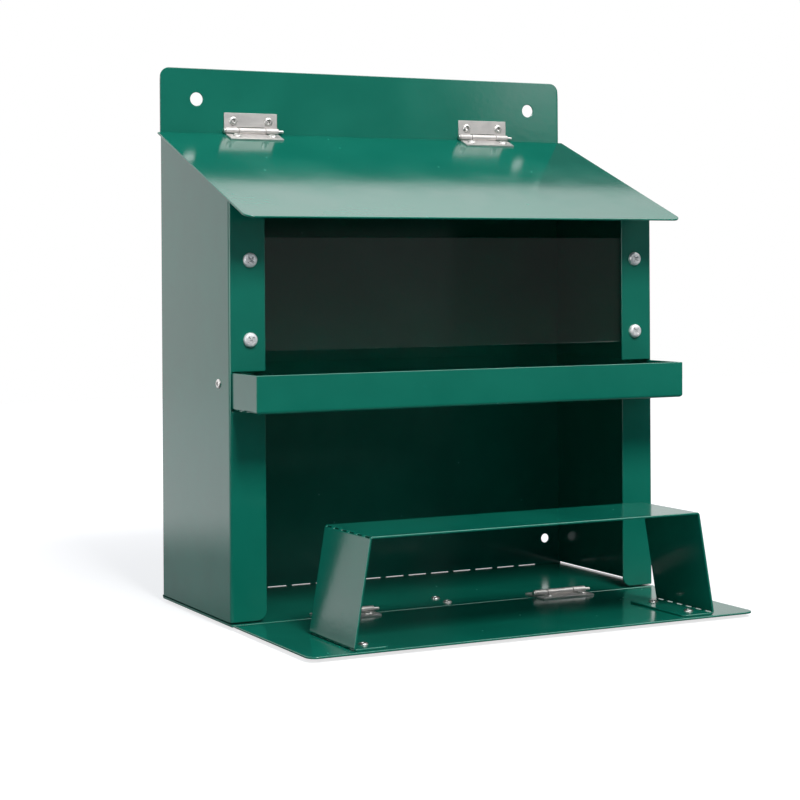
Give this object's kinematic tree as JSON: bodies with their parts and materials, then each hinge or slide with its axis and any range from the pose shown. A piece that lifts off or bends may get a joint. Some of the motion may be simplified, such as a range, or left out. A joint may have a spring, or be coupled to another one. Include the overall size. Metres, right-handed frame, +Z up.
{
  "type": "squirrel picnic table feeder",
  "caption": "Wall-hung folded steel squirrel feeder: seed hopper with clear window and hinged lid, feed tray, and a fold-up platform carrying a picnic table.",
  "frame": {"origin": "centre of the footprint, at the lowest point of the part (the strap under the floor panel)", "axes": "+Z up, -Y towards the front (picnic table), +Y towards the wall, X across the width"},
  "size_m": [0.244, 0.1844, 0.276],
  "materials": {
    "green_paint": "glossy powder coat on folded steel sheet",
    "zinc": "bright zinc plate",
    "clear_sheet": "clear acrylic sheet"
  },
  "bodies": {
    "box": {"body_shell": "green_paint", "feed_tray": "green_paint", "window": "clear_sheet", "window_screws": "zinc", "window_nuts": "zinc", "tray_rivets": "zinc", "platform_strap": "green_paint", "strap_rivets": "zinc", "lid_hinge_left_back_leaf": "zinc", "lid_hinge_left_pin": "zinc", "lid_hinge_right_back_leaf": "zinc", "lid_hinge_right_pin": "zinc", "floor_hinge_left_floor_leaf": "zinc", "floor_hinge_left_pin": "zinc", "floor_hinge_right_floor_leaf": "zinc", "floor_hinge_right_pin": "zinc", "lid_hinge_back_rivets": "zinc", "floor_hinge_floor_rivets": "zinc"},
    "lid": {"roof_lid": "green_paint", "lid_hinge_left_lid_leaf": "zinc", "lid_hinge_right_lid_leaf": "zinc", "lid_hinge_lid_rivets": "zinc"},
    "platform": {"platform": "green_paint", "picnic_table": "green_paint", "table_rivets": "zinc", "floor_hinge_left_platform_leaf": "zinc", "floor_hinge_right_platform_leaf": "zinc", "floor_hinge_platform_rivets": "zinc"}
  },
  "joints": [
    {"name": "lid_hinge", "type": "hinge", "parent": "box", "child": "lid", "pos_m": [0, 0.08787, 0.2439], "axis": [-1, 0, 0], "range_deg": [0, 100]},
    {"name": "platform_hinge", "type": "hinge", "parent": "box", "child": "platform", "pos_m": [0, -0.00517, 0.0044], "axis": [-1, 0, 0], "range_deg": [0, 90]}
  ]
}
